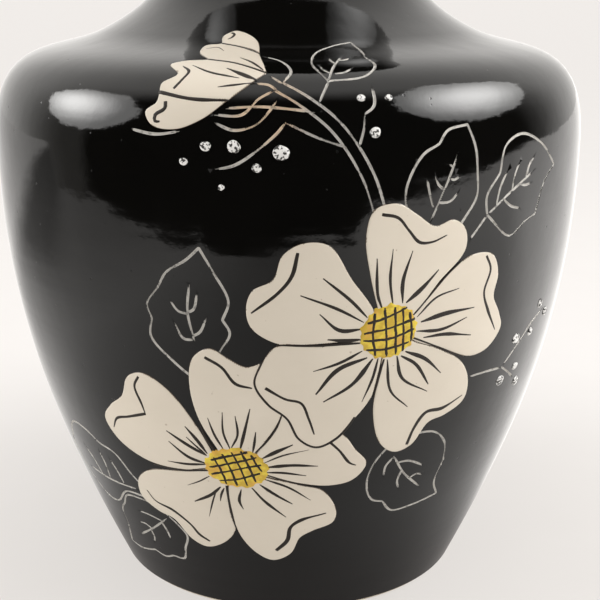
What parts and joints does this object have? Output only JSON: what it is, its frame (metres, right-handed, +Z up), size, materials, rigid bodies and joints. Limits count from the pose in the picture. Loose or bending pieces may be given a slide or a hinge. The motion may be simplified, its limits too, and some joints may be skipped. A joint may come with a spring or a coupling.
{
  "type": "clay pot",
  "caption": "Broad-shouldered black-glazed clay pot with a short flared neck and cream flowers, leaves and berries worked into the glaze.",
  "frame": {"origin": "centre of the foot, on the surface that the pot stands on", "axes": "+Z up along the pot's axis; the flowers face -Y"},
  "size_m": [0.2, 0.2005, 0.2489],
  "materials": {
    "clay": "bare fired clay",
    "black_glaze": "glossy",
    "inner_glaze": "glossy",
    "cream_slip": "satin",
    "yellow_slip": "satin",
    "white_slip": "satin"
  },
  "bodies": {
    "root": {"clay_body": "clay", "outer_glaze": "black_glaze", "inner_glaze": "inner_glaze", "upper_petal_1": "cream_slip", "upper_petal_2": "cream_slip", "upper_petal_3": "cream_slip", "upper_petal_4": "cream_slip", "upper_petal_5": "cream_slip", "lower_petal_1": "cream_slip", "lower_petal_2": "cream_slip", "lower_petal_3": "cream_slip", "lower_petal_4": "cream_slip", "lower_petal_5": "cream_slip", "bud_petal_1": "cream_slip", "bud_petal_2": "cream_slip", "bud_petal_3": "cream_slip", "bud_petal_4": "cream_slip", "upper_flower_centre": "yellow_slip", "lower_flower_centre": "yellow_slip", "leaf_by_neck": "black_glaze", "leaf_over_flower": "black_glaze", "leaf_right": "black_glaze", "leaf_left": "black_glaze", "leaf_under_flower": "black_glaze", "leaf_far_left": "black_glaze", "leaf_low_left": "black_glaze", "stem": "black_glaze", "berries_left": "white_slip", "berries_right": "white_slip", "berries_side": "white_slip"}
  },
  "joints": []
}
